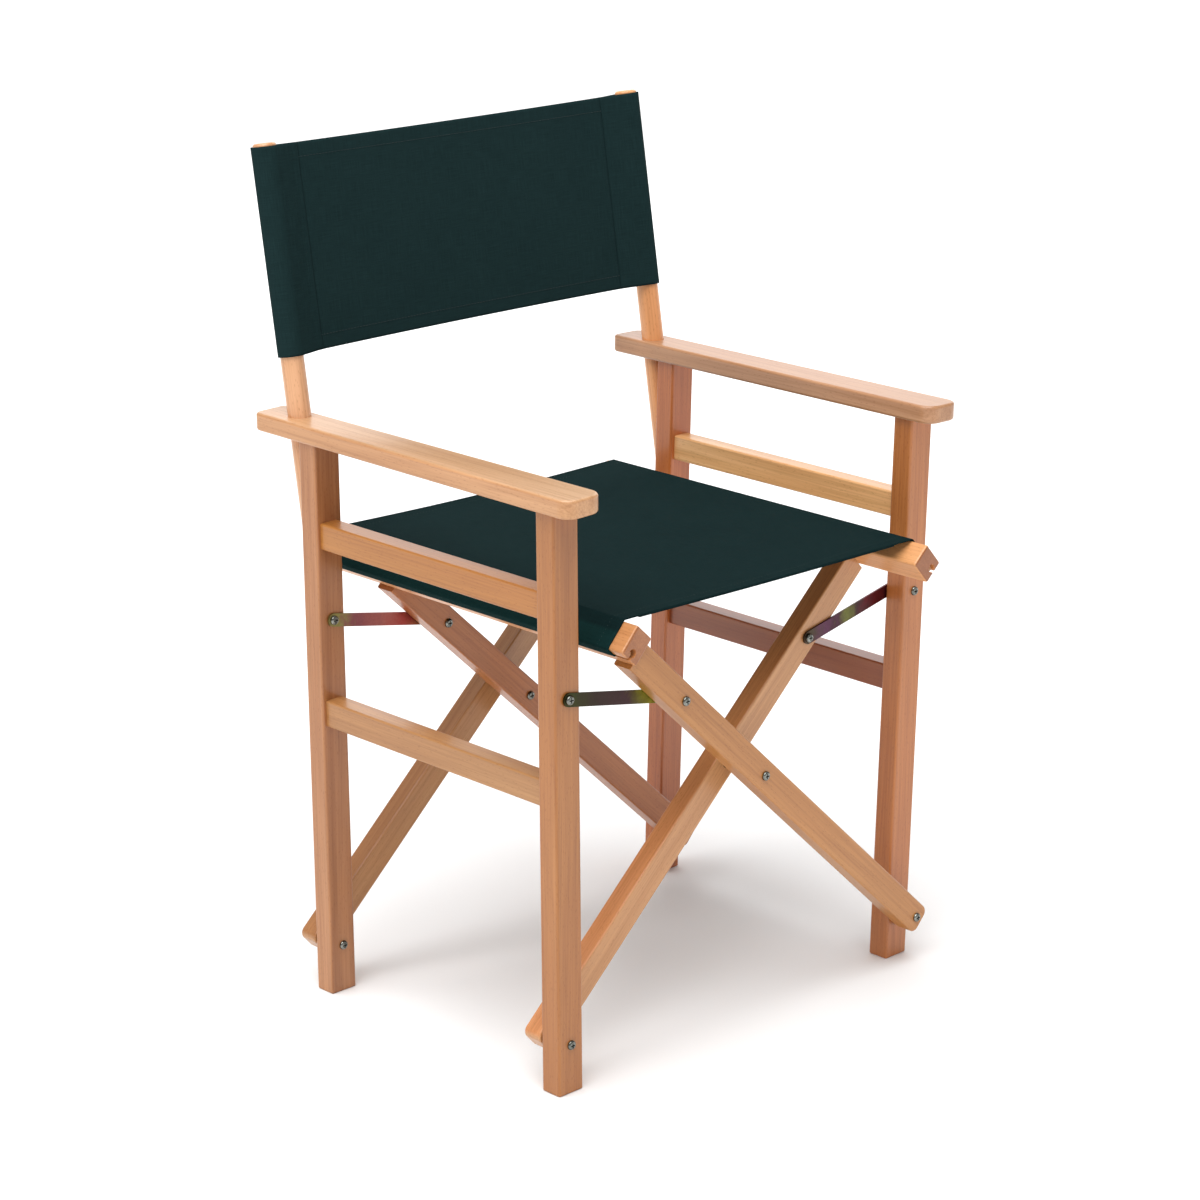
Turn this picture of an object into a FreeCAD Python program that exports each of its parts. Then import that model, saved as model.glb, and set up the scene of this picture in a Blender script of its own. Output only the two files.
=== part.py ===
"""Folding director's-type chair: two rigid wooden side frames joined by two crossed pairs of
legs, with a canvas seat between two rails and a canvas back sleeved over two posts.

Millimetres, +Z up.  X runs across the seat (+X is the sitter's left), -Y is the front.
The origin is on the floor, at the middle of the space the open chair takes up.
Each sub-part is written to parts/NODE.step.
"""
import FreeCAD, Part
import math
import os

os.makedirs("parts", exist_ok=True)

V = FreeCAD.Vector
RIGHT, LEFT = -1, 1
SIDE_NAME = {RIGHT: "right", LEFT: "left"}
SIDES = (RIGHT, LEFT)

# ---------------------------------------------------------------- driving dimensions
# Pivots of the folding linkage
FOOT_PIVOT_X = 241.0          # bottom pivots, half the distance between them
FOOT_PIVOT_Z = 51.0
CROSS_PIVOT_Z = 271.0         # where the crossed legs cross, on the middle plane
LINK_PIVOT_Z = 403.0          # upper link screws, in the side frames' legs
LINK_ALONG = 156.0            # lower link screws, up the crossed legs from the crossing
SPLAY_DEG = 1.1               # each side frame leans out by this when the chair is open

# Side frames
LEG_WIDE = 32.0
LEG_TOP_Z = 585.4
FRONT_LEG_Y = (-187.6, -163.4)
REAR_LEG_Y = (147.7, 171.7)
LEG_EDGE = 2.5
FOOT_CHAMFER = 1.2
RAIL_U = (-10.3, 11.6)        # side rails, measured outward from the legs' middle plane
UPPER_RAIL_Z = (478.0, 505.0)
LOWER_RAIL_Z = (292.4, 320.0)
RAIL_EDGE = 2.0

ARM_TOP_Z = 603.9
ARM_FRONT_Y = -215.9
ARM_REAR_Y = 236.1
ARM_FRONT_U = (-22.5, 24.5)
ARM_REAR_U = (-21.5, 19.5)
ARM_FRONT_CORNER = 15.0
ARM_REAR_CORNER = 8.0
ARM_EDGE = 3.0

POST_R = 11.7
POST_X = 248.5                # the two posts are parallel
POST_Y = 191.3                # axis of the post at the armrest's top face
POST_LEAN = 0.174             # rearward run per unit of rise
POST_TOP_Z = 868.0
POST_BOTTOM_Z = 466.0         # blind end, in a socket in the rear leg's back face
POST_TOP_EDGE = 3.0

# Crossed legs
CROSS_WIDE = 30.0
CROSS_FOOT_BEYOND = 11.5      # end of the leg past its bottom pivot
CROSS_FOOT_CORNER = 8.0
CROSS_TOP_ALONG = {RIGHT: 245.0, LEFT: 254.0}
CROSS_EDGE = 2.0
CROSS_Y = {
    ("front", RIGHT): (-212.6, -190.6),
    ("front", LEFT): (-160.4, -138.4),
    ("rear", RIGHT): (122.7, 144.7),
    ("rear", LEFT): (174.3, 196.3),
}

# Seat rails, each on the upper ends of its own pair of crossed legs
SEAT_RAIL_DEEP = 26.0
SEAT_RAIL_PERP = {RIGHT: (-10.5, 20.5), LEFT: (-7.5, 23.5)}
SEAT_RAIL_Y = {RIGHT: (-218.0, 240.0), LEFT: (-250.4, 203.0)}
SEAT_RAIL_EDGE = 2.5
GROOVE_UP = 13.5              # groove's axis above the rail's bottom face
GROOVE_IN = 6.8               # groove's axis inside the rail's outer face
GROOVE_R = 4.5
GROOVE_SLOT = 3.8
DOWEL_R = 2.8
DOWEL_IN = 5.1                # pulled against the mouth of the groove by the canvas
DOWEL_INSET = 4.0             # dowel ends inside the rail ends

# Links
LINK_WIDE = 13.5
LINK_THICK = 2.0
LINK_Y = {
    ("front", RIGHT): -190.1,
    ("front", LEFT): -162.9,
    ("rear", RIGHT): 145.2,
    ("rear", LEFT): 172.0,
}

# Fasteners
PIN_R = 3.0
PIN_CLEARANCE = 0.05
HEAD_R = 4.8
HEAD_TALL = 2.8
RECESS_LONG = 5.2
RECESS_WIDE = 1.3
RECESS_DEEP = 1.7
NUT_R = 5.0
NUT_TALL = 5.0
WASHER_R = 8.0
SPACER_R = 5.5
PIN_STOP_SHORT = 1.5          # blind screws end this far inside the wood
PLAY = 0.1                    # end play beside a piece that turns

# Canvas
CANVAS = 1.2
CANVAS_OFF = 0.3              # clear of the wood it wraps
CANVAS_INTO_GROOVE = 1.9
SEAT_CANVAS_Y = {RIGHT: (-200.0, 221.0), LEFT: (-230.4, 192.0)}
SEAT_SAG = 3.0
TOP_LAP = 0.35                # share of the canvas offset by which its top bend passes the rail
BACK_Z = (662.5, 865.0)
SLEEVE_R = (12.0, 13.9)
BACK_PANEL_THICK = 1.6
BACK_PANEL_AHEAD = 5.0        # panel's middle plane ahead of the post axes

# ---------------------------------------------------------------- derived layout
CROSS_ANGLE = math.atan2(CROSS_PIVOT_Z - FOOT_PIVOT_Z, FOOT_PIVOT_X)
FOOT_ALONG = math.hypot(CROSS_PIVOT_Z - FOOT_PIVOT_Z, FOOT_PIVOT_X)
LINK_PIVOT_X = FOOT_PIVOT_X + (LINK_PIVOT_Z - FOOT_PIVOT_Z) * math.tan(math.radians(SPLAY_DEG))


# ---------------------------------------------------------------- helpers
def box(x, y, z):
    """Box from three (low, high) pairs."""
    return Part.makeBox(x[1] - x[0], y[1] - y[0], z[1] - z[0], V(x[0], y[0], z[0]))


def rod_y(x, z, y0, y1, radius):
    """Round bar along +Y."""
    return Part.makeCylinder(radius, y1 - y0, V(x, y0, z), V(0, 1, 0))


def edges_along(shape, direction, tolerance=1e-6):
    """Straight edges of a shape that run along one direction."""
    found = []
    for edge in shape.Edges:
        if not isinstance(edge.Curve, (Part.Line, Part.LineSegment)):
            continue
        run = edge.Vertexes[-1].Point.sub(edge.Vertexes[0].Point)
        if run.cross(direction).Length < tolerance * max(run.Length, 1.0):
            found.append(edge)
    return found


def prism_y(points, y0, y1):
    """Extrude a closed outline of (x, z) points along +Y."""
    loop = [V(x, y0, z) for x, z in points]
    face = Part.Face(Part.makePolygon(loop + loop[:1]))
    return face.extrude(V(0, y1 - y0, 0))


def group(solids):
    return Part.makeCompound(solids)


def save(shape, node):
    for solid in shape.Solids:
        assert solid.isValid(), node
    shape.exportStep("parts/" + node + ".step")


def lean(shape, side):
    """Lean an upright side-frame piece outward about its bottom pivot line."""
    leaned = shape.copy()
    leaned.rotate(V(side * FOOT_PIVOT_X, 0, FOOT_PIVOT_Z), V(0, 1, 0), side * SPLAY_DEG)
    return leaned


def frame_x(side, u):
    """Upright x of a point u outward from the legs' middle plane."""
    return side * (FOOT_PIVOT_X + u)


def frame_box(side, u, y, z):
    x = sorted(frame_x(side, value) for value in u)
    return box(x, y, z)


def cross_point(side, along, perp):
    """(x, z) of a point on the crossed legs that carry one side's seat rail.

    along runs up the leg from the crossing and perp runs up and inward, square to it.
    """
    x = -along * math.cos(CROSS_ANGLE) + perp * math.sin(CROSS_ANGLE)
    z = CROSS_PIVOT_Z + along * math.sin(CROSS_ANGLE) + perp * math.cos(CROSS_ANGLE)
    return -side * x, z


def cross_outline(side, along, perp):
    corners = ((along[0], perp[0]), (along[1], perp[0]), (along[1], perp[1]), (along[0], perp[1]))
    return [cross_point(side, a, p) for a, p in corners]


# ---------------------------------------------------------------- fasteners
def pan_head(x, z, y):
    """Cross-recess pan head in front of a face at y; its rim is rounded."""
    head = rod_y(x, z, y - HEAD_TALL, y, HEAD_R)
    rim = [e for e in head.Edges if isinstance(e.Curve, Part.Circle) and e.CenterOfMass.y < y - 1.0]
    head = head.makeFillet(0.75 * HEAD_TALL, rim)
    top = (y - HEAD_TALL - 1.0, y - HEAD_TALL + RECESS_DEEP)
    for long_x in (True, False):
        half_x = 0.5 * (RECESS_LONG if long_x else RECESS_WIDE)
        half_z = 0.5 * (RECESS_WIDE if long_x else RECESS_LONG)
        head = head.cut(box((x - half_x, x + half_x), top, (z - half_z, z + half_z)))
    return head


def screw(x, z, head_y, end_y):
    """Pan-head screw along +Y: head in front of head_y, plain shank to end_y."""
    return pan_head(x, z, head_y).fuse(rod_y(x, z, head_y, end_y, PIN_R)).removeSplitter()


def cap_nut(x, z, y):
    """Domed nut behind a face at y, with a blind hole for the end of the shank."""
    hexagon = [(x + NUT_R * 1.1547 * math.cos(math.radians(60 * i)),
                z + NUT_R * 1.1547 * math.sin(math.radians(60 * i))) for i in range(6)]
    nut = prism_y(hexagon, y, y + NUT_TALL)
    dome = Part.makeCone(NUT_R * 1.16, NUT_R * 0.55, NUT_TALL * 0.55,
                         V(x, y + NUT_TALL * 0.45, z), V(0, 1, 0))
    keep = rod_y(x, z, y, y + NUT_TALL * 0.45, NUT_R * 1.16).fuse(dome)
    return nut.common(keep).cut(rod_y(x, z, y, y + NUT_TALL - 1.6, PIN_R))


def ring(x, z, y0, y1, outer):
    """Washer or tube with a running hole for a shank."""
    return rod_y(x, z, y0, y1, outer).cut(rod_y(x, z, y0, y1, PIN_R + PIN_CLEARANCE))


def foot_pivot(side):
    return side * FOOT_PIVOT_X, FOOT_PIVOT_Z


def rail_along(side):
    """A seat rail's extent up the legs that carry it."""
    return CROSS_TOP_ALONG[side], CROSS_TOP_ALONG[side] + SEAT_RAIL_DEEP


def groove_along(side):
    return CROSS_TOP_ALONG[side] + GROOVE_UP


def upper_link_pivot(side):
    return side * LINK_PIVOT_X, LINK_PIVOT_Z


def lower_link_pivot(side):
    return cross_point(side, LINK_ALONG, 0.0)


def nut_shank_end(y):
    """Where a shank ends inside a cap nut that sits on a face at y."""
    return y + NUT_TALL - 1.6


# ---------------------------------------------------------------- side frames
def side_leg(side, y):
    """Leg of a side frame: eased long edges, foot cut level with the floor."""
    leg = frame_box(side, (-LEG_WIDE / 2, LEG_WIDE / 2), y, (-3.0, LEG_TOP_Z))
    leg = leg.makeFillet(LEG_EDGE, edges_along(leg, V(0, 0, 1)))
    leg = lean(leg, side)
    leg = leg.cut(box((-400, 400), (-400, 400), (-20, 0)))
    sole = [e for e in leg.Edges if abs(e.BoundBox.ZMax) < 1e-4]
    return leg.makeChamfer(FOOT_CHAMFER, sole)


def side_rail(side, z):
    rail = frame_box(side, RAIL_U, (FRONT_LEG_Y[1], REAR_LEG_Y[0]), z)
    return lean(rail.makeFillet(RAIL_EDGE, edges_along(rail, V(0, 1, 0))), side)


def post_point(side, z):
    """Point of a post's axis at one height."""
    return V(side * POST_X, POST_Y + POST_LEAN * (z - ARM_TOP_Z), z)


def post_bar(side, z0, z1, radius):
    """Round bar on a post's axis between two heights."""
    start, end = post_point(side, z0), post_point(side, z1)
    return Part.makeCylinder(radius, end.sub(start).Length, start, end.sub(start))


def post_hole(side):
    """Room for a post through the armrest and in the rear leg."""
    return post_bar(side, POST_BOTTOM_Z, ARM_TOP_Z + 20.0, POST_R)


def back_post(side):
    """Round post with an eased top; it passes through the armrest into the rear leg."""
    bar = post_bar(side, POST_BOTTOM_Z, POST_TOP_Z, POST_R)
    rims = [e for e in bar.Edges if isinstance(e.Curve, Part.Circle)]
    top = max(rims, key=lambda e: e.CenterOfMass.z)
    return bar.makeFillet(POST_TOP_EDGE, [top])


def armrest(side):
    """Armrest, slightly wider toward the front, with rounded corners and eased rims."""
    corners = (
        (ARM_REAR_U[0], ARM_REAR_Y),
        (ARM_REAR_U[1], ARM_REAR_Y),
        (ARM_FRONT_U[1], ARM_FRONT_Y),
        (ARM_FRONT_U[0], ARM_FRONT_Y),
    )
    loop = [V(frame_x(side, u), y, LEG_TOP_Z) for u, y in corners]
    slab = Part.Face(Part.makePolygon(loop + loop[:1])).extrude(V(0, 0, ARM_TOP_Z - LEG_TOP_Z))
    for end, radius in ((1, ARM_REAR_CORNER), (-1, ARM_FRONT_CORNER)):
        corner_edges = [e for e in edges_along(slab, V(0, 0, 1))
                        if end * e.CenterOfMass.y > abs(ARM_FRONT_Y) - 5.0]
        slab = slab.makeFillet(radius, corner_edges)
    rims = [e for e in slab.Edges if e.BoundBox.ZLength < 1e-6]
    return lean(slab.makeFillet(ARM_EDGE, rims), side)


def drill(shape, pivots, radius):
    for (x, z), y0, y1 in pivots:
        shape = shape.cut(rod_y(x, z, y0, y1, radius))
    return shape


def build_side_frame(side):
    name = SIDE_NAME[side]
    front = side_leg(side, FRONT_LEG_Y)
    rear = side_leg(side, REAR_LEG_Y).cut(post_hole(side))
    for place, leg_y in (("front", FRONT_LEG_Y), ("rear", REAR_LEG_Y)):
        leg = front if place == "front" else rear
        leg = drill(leg, [(foot_pivot(side), leg_y[0] - 1, leg_y[1] + 1)], PIN_R)
        if side == RIGHT:
            link_hole = (leg_y[0] - 1, leg_y[1] - PIN_STOP_SHORT)
        else:
            link_hole = (leg_y[0] - 1, leg_y[1] + 1)
        leg = drill(leg, [(upper_link_pivot(side), *link_hole)], PIN_R)
        save(leg, "{}_{}_leg".format(name, place))
    save(side_rail(side, UPPER_RAIL_Z), name + "_upper_side_rail")
    save(side_rail(side, LOWER_RAIL_Z), name + "_lower_side_rail")
    save(armrest(side).cut(post_hole(side)), name + "_armrest")
    save(back_post(side), name + "_back_post")


# ---------------------------------------------------------------- crossed legs and seat rails
def cross_leg(side, place):
    """One leg of a crossed pair: round-cornered at the foot, square at the seat rail."""
    y0, y1 = CROSS_Y[place, side]
    half = CROSS_WIDE / 2
    top_along = CROSS_TOP_ALONG[side]
    span = (-FOOT_ALONG - CROSS_FOOT_BEYOND, top_along)
    bar = prism_y(cross_outline(side, span, (-half, half)), y0, y1)
    foot_x, foot_z = cross_point(side, -FOOT_ALONG, 0.0)
    top_x, top_z = cross_point(side, top_along, 0.0)
    corners = [e for e in edges_along(bar, V(0, 1, 0))
               if math.hypot(e.CenterOfMass.x - foot_x, e.CenterOfMass.z - foot_z) < CROSS_WIDE]
    bar = bar.makeFillet(CROSS_FOOT_CORNER, corners)
    rims = []
    for edge in bar.Edges:
        centre = edge.CenterOfMass
        at_top = math.hypot(centre.x - top_x, centre.z - top_z) < half + 0.5
        if edge.BoundBox.YLength < 1e-6 and not at_top:
            rims.append(edge)
    bar = bar.makeFillet(CROSS_EDGE, rims)
    running = PIN_R + PIN_CLEARANCE
    bar = drill(bar, [((foot_x, foot_z), y0 - 1, y1 + 1)], running)
    cross_r = running if side == RIGHT else PIN_R
    bar = drill(bar, [((0.0, CROSS_PIVOT_Z), y0 - 1, y1 + 1)], cross_r)
    link_x, link_z = lower_link_pivot(side)
    link_end = y1 + 1 if side == RIGHT else y1 - PIN_STOP_SHORT
    return drill(bar, [((link_x, link_z), y0 - 1, link_end)], PIN_R)


def seat_rail(side):
    """Seat rail with a keyhole groove along its outer face for the canvas and its dowel."""
    y0, y1 = SEAT_RAIL_Y[side]
    outer, inner = SEAT_RAIL_PERP[side]
    rail = prism_y(cross_outline(side, rail_along(side), (outer, inner)), y0, y1)
    rail = rail.makeFillet(SEAT_RAIL_EDGE, rail.Edges)
    groove = groove_along(side)
    x, z = cross_point(side, groove, outer + GROOVE_IN)
    half = GROOVE_SLOT / 2
    slot = cross_outline(side, (groove - half, groove + half), (outer - 1, outer + GROOVE_IN))
    return rail.cut(rod_y(x, z, y0 - 1, y1 + 1, GROOVE_R)).cut(prism_y(slot, y0 - 1, y1 + 1))


def seat_dowel(side):
    x, z = cross_point(side, groove_along(side), SEAT_RAIL_PERP[side][0] + DOWEL_IN)
    y0, y1 = SEAT_RAIL_Y[side]
    return rod_y(x, z, y0 + DOWEL_INSET, y1 - DOWEL_INSET, DOWEL_R)


def build_scissors():
    for side in SIDES:
        name = SIDE_NAME[side]
        for place in ("front", "rear"):
            save(cross_leg(side, place), "{}_cross_leg_{}".format(place, name))
        save(seat_rail(side), "seat_rail_" + name)
        save(seat_dowel(side), "seat_dowel_" + name)


# ---------------------------------------------------------------- links
def link(side, place):
    """Flat steel strap with rounded ends between a side frame and a crossed leg."""
    x0, z0 = upper_link_pivot(side)
    x1, z1 = lower_link_pivot(side)
    y0 = LINK_Y[place, side]
    y1 = y0 + LINK_THICK
    length = math.hypot(x1 - x0, z1 - z0)
    half = LINK_WIDE / 2
    nx, nz = -(z1 - z0) / length * half, (x1 - x0) / length * half
    strap = prism_y([(x0 + nx, z0 + nz), (x1 + nx, z1 + nz), (x1 - nx, z1 - nz), (x0 - nx, z0 - nz)], y0, y1)
    for x, z in ((x0, z0), (x1, z1)):
        strap = strap.fuse(rod_y(x, z, y0, y1, half))
    strap = strap.removeSplitter()
    for x, z in ((x0, z0), (x1, z1)):
        strap = strap.cut(rod_y(x, z, y0 - 1, y1 + 1, PIN_R + PIN_CLEARANCE))
    return strap


def build_links():
    for side in SIDES:
        for place in ("front", "rear"):
            save(link(side, place), "link_{}_{}".format(SIDE_NAME[side], place))


# ---------------------------------------------------------------- fastener groups
def build_fasteners():
    leg_y = {"front": FRONT_LEG_Y, "rear": REAR_LEG_Y}

    # Foot pivots of the right frame: through the frame leg, a washer and the crossed leg behind
    x, z = foot_pivot(RIGHT)
    screws, nuts, washers = [], [], []
    for place in ("front", "rear"):
        cross_front, cross_back = CROSS_Y[place, LEFT]
        screws.append(screw(x, z, leg_y[place][0], nut_shank_end(cross_back)))
        nuts.append(cap_nut(x, z, cross_back + PLAY))
        washers.append(ring(x, z, leg_y[place][1], cross_front - PLAY, WASHER_R))
    save(group(screws), "right_foot_pivot_screws")
    save(group(nuts), "right_foot_pivot_nuts")
    save(group(washers), "right_foot_pivot_washers")

    # Foot pivots of the left frame: through the crossed leg in front, a washer and the frame leg
    x, z = foot_pivot(LEFT)
    screws, nuts, washers = [], [], []
    for place in ("front", "rear"):
        cross_front, cross_back = CROSS_Y[place, RIGHT]
        screws.append(screw(x, z, cross_front - PLAY, nut_shank_end(leg_y[place][1])))
        nuts.append(cap_nut(x, z, leg_y[place][1]))
        washers.append(ring(x, z, cross_back + PLAY, leg_y[place][0], WASHER_R))
    save(group(screws), "left_foot_pivot_screws")
    save(group(nuts), "left_foot_pivot_nuts")
    save(group(washers), "left_foot_pivot_washers")

    # Crossing pivots: through the right pair's leg, a spacer tube and the left pair's leg
    screws, nuts, spacers = [], [], []
    for place in ("front", "rear"):
        head_y, run_end = CROSS_Y[place, RIGHT]
        cross_front, cross_back = CROSS_Y[place, LEFT]
        screws.append(screw(0.0, CROSS_PIVOT_Z, head_y - PLAY, nut_shank_end(cross_back)))
        nuts.append(cap_nut(0.0, CROSS_PIVOT_Z, cross_back))
        spacers.append(ring(0.0, CROSS_PIVOT_Z, run_end + PLAY, cross_front, SPACER_R))
    save(group(screws), "cross_pivot_screws")
    save(group(nuts), "cross_pivot_nuts")
    save(group(spacers), "cross_pivot_spacers")

    # Link screws
    groups = {
        "right_link_frame_screws": [],
        "right_link_cross_screws": [],
        "left_link_frame_screws": [],
        "left_link_cross_screws": [],
    }
    for place in ("front", "rear"):
        x, z = upper_link_pivot(RIGHT)
        blind = leg_y[place][1] - PIN_STOP_SHORT
        groups["right_link_frame_screws"].append(screw(x, z, LINK_Y[place, RIGHT] - PLAY, blind))
        x, z = lower_link_pivot(RIGHT)
        groups["right_link_cross_screws"].append(screw(x, z, *CROSS_Y[place, RIGHT]))
        x, z = upper_link_pivot(LEFT)
        groups["left_link_frame_screws"].append(screw(x, z, *leg_y[place]))
        x, z = lower_link_pivot(LEFT)
        blind = CROSS_Y[place, LEFT][1] - PIN_STOP_SHORT
        groups["left_link_cross_screws"].append(screw(x, z, LINK_Y[place, LEFT] - PLAY, blind))
    for node, screws in groups.items():
        save(group(screws), node)


# ---------------------------------------------------------------- canvas
def ribbon(points, thick):
    """Closed outline of a strip of even thickness that follows (x, z) points."""
    sides = ([], [])
    for i, (x, z) in enumerate(points):
        before = points[max(i - 1, 0)]
        after = points[min(i + 1, len(points) - 1)]
        normals = []
        for (xa, za), (xb, zb) in ((before, (x, z)), ((x, z), after)):
            run = math.hypot(xb - xa, zb - za)
            if run > 0:
                normals.append((-(zb - za) / run, (xb - xa) / run))
        nx = sum(n[0] for n in normals) / len(normals)
        nz = sum(n[1] for n in normals) / len(normals)
        square = nx * nx + nz * nz
        reach = 0.5 * thick / square
        sides[0].append((x + nx * reach, z + nz * reach))
        sides[1].append((x - nx * reach, z - nz * reach))
    return sides[0] + sides[1][::-1]


def seat_canvas():
    """Seat canvas: out of each rail's groove, round the rail's outer side and across the top."""
    off = CANVAS_OFF + CANVAS / 2
    wraps = {}
    for side in SIDES:
        outer, inner = SEAT_RAIL_PERP[side]
        top = rail_along(side)[1] + off
        wrap = (
            (groove_along(side), outer + CANVAS_INTO_GROOVE),
            (groove_along(side), outer - off),
            (top, outer - off),
            (top, inner + TOP_LAP * off),
        )
        wraps[side] = [cross_point(side, a, p) for a, p in wrap]
    right, left = wraps[RIGHT], wraps[LEFT][::-1]
    (x0, z0), (x1, z1) = right[-1], left[0]
    steps = 14
    across = []
    for i in range(1, steps):
        share = i / steps
        sag = SEAT_SAG * 4 * share * (1 - share)
        across.append((x0 + (x1 - x0) * share, z0 + (z1 - z0) * share - sag))
    strip = prism_y(ribbon(right + across + left, CANVAS), -300, 300)
    reach = 230.0
    (right_front, right_rear), (left_front, left_rear) = SEAT_CANVAS_Y[RIGHT], SEAT_CANVAS_Y[LEFT]
    plan = []
    for x, y_right, y_left in ((-reach, right_front, left_front), (reach, right_front, left_front),
                               (reach, right_rear, left_rear), (-reach, right_rear, left_rear)):
        plan.append(V(x, y_right + (y_left - y_right) * (x - x0) / (x1 - x0), 400))
    block = Part.Face(Part.makePolygon(plan + plan[:1])).extrude(V(0, 0, 100))
    return strip.common(block)


def back_canvas():
    """Back canvas: a sleeve round each post and a flat panel between them."""
    corners = [post_point(side, z) for side, z in
               ((RIGHT, BACK_Z[0]), (LEFT, BACK_Z[0]), (LEFT, BACK_Z[1]), (RIGHT, BACK_Z[1]))]
    forward = V(0, -1, POST_LEAN).normalize()
    near_face = V(forward).multiply(BACK_PANEL_AHEAD - BACK_PANEL_THICK / 2)
    loop = [p.add(near_face) for p in corners]
    panel = Part.Face(Part.makePolygon(loop + loop[:1])).extrude(V(forward).multiply(BACK_PANEL_THICK))
    canvas = panel
    for side in SIDES:
        canvas = canvas.fuse(post_bar(side, *BACK_Z, SLEEVE_R[1]))
    for side in SIDES:
        canvas = canvas.cut(post_bar(side, BACK_Z[0] - 60, BACK_Z[1] + 60, SLEEVE_R[0]))
    return canvas.removeSplitter()


for frame_side in SIDES:
    build_side_frame(frame_side)
build_scissors()
build_links()
build_fasteners()
save(seat_canvas(), "seat_canvas")
save(back_canvas(), "back_canvas")
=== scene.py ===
"""Folding director's-type chair: materials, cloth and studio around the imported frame."""
import math

import bmesh
import bpy
from mathutils import Matrix, Vector


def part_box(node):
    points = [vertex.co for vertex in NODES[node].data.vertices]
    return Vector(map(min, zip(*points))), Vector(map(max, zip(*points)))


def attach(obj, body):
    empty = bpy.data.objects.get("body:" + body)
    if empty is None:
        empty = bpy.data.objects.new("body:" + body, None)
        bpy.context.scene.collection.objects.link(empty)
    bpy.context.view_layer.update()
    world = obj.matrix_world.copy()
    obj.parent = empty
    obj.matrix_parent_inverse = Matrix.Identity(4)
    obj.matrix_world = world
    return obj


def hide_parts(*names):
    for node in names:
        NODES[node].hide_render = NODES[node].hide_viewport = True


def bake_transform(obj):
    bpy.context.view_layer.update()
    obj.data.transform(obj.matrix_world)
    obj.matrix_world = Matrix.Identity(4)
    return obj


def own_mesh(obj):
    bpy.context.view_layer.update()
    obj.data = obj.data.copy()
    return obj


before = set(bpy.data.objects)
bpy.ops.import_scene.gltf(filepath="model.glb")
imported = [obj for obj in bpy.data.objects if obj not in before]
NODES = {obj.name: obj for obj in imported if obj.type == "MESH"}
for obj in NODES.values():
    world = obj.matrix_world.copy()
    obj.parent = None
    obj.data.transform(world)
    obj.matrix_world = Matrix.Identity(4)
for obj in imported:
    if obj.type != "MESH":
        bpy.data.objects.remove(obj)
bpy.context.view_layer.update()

RIGHT, LEFT = -1, 1
SIDE_NAME = {RIGHT: "right", LEFT: "left"}


def add_object(name, data):
    """A new object in the scene."""
    obj = bpy.data.objects.new(name, data)
    bpy.context.scene.collection.objects.link(obj)
    return obj


# ---------------------------------------------------------------- camera
CAMERA_AZIMUTH = math.radians(-44.858)
CAMERA_ELEVATION = math.radians(17.38)
CAMERA_ROLL = math.radians(0.436)
CAMERA_DISTANCE = 3.3834
CAMERA_TARGET = Vector((-0.0152, 0.0046, 0.4059))
CAMERA_SENSOR = 36.0
CAMERA_LENS = 100.33
CAMERA_CLIP = (0.05, 60.0)


def make_camera():
    """Camera in front of the chair, on the sitter's right, looking slightly down."""
    azimuth, elevation, roll = CAMERA_AZIMUTH, CAMERA_ELEVATION, CAMERA_ROLL
    target, distance = CAMERA_TARGET, CAMERA_DISTANCE
    back = Vector((math.sin(azimuth) * math.cos(elevation),
                   -math.cos(azimuth) * math.cos(elevation), math.sin(elevation)))
    level = Vector((math.cos(azimuth), math.sin(azimuth), 0.0))
    upright = back.cross(level)
    across = math.cos(roll) * level + math.sin(roll) * upright
    up = -math.sin(roll) * level + math.cos(roll) * upright
    data = bpy.data.cameras.new("camera")
    data.sensor_width = CAMERA_SENSOR
    data.lens = CAMERA_LENS
    data.clip_start, data.clip_end = CAMERA_CLIP
    camera = add_object("camera", data)
    camera.matrix_world = Matrix((
        (across.x, up.x, back.x, target.x + back.x * distance),
        (across.y, up.y, back.y, target.y + back.y * distance),
        (across.z, up.z, back.z, target.z + back.z * distance),
        (0, 0, 0, 1)))
    bpy.context.scene.camera = camera


# ---------------------------------------------------------------- node helpers
WHITE = (1.0, 1.0, 1.0)


def grey(value):
    return (value, value, value)


def linear(red, green, blue):
    """sRGB 0-255 to a linear colour."""
    out = []
    for value in (red, green, blue):
        c = value / 255
        out.append(c / 12.92 if c <= 0.04045 else ((c + 0.055) / 1.055) ** 2.4)
    return tuple(out)


def scaled(colour, factors):
    """A colour with each of its channels multiplied by its own factor."""
    return tuple(c * k for c, k in zip(colour, factors))


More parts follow.
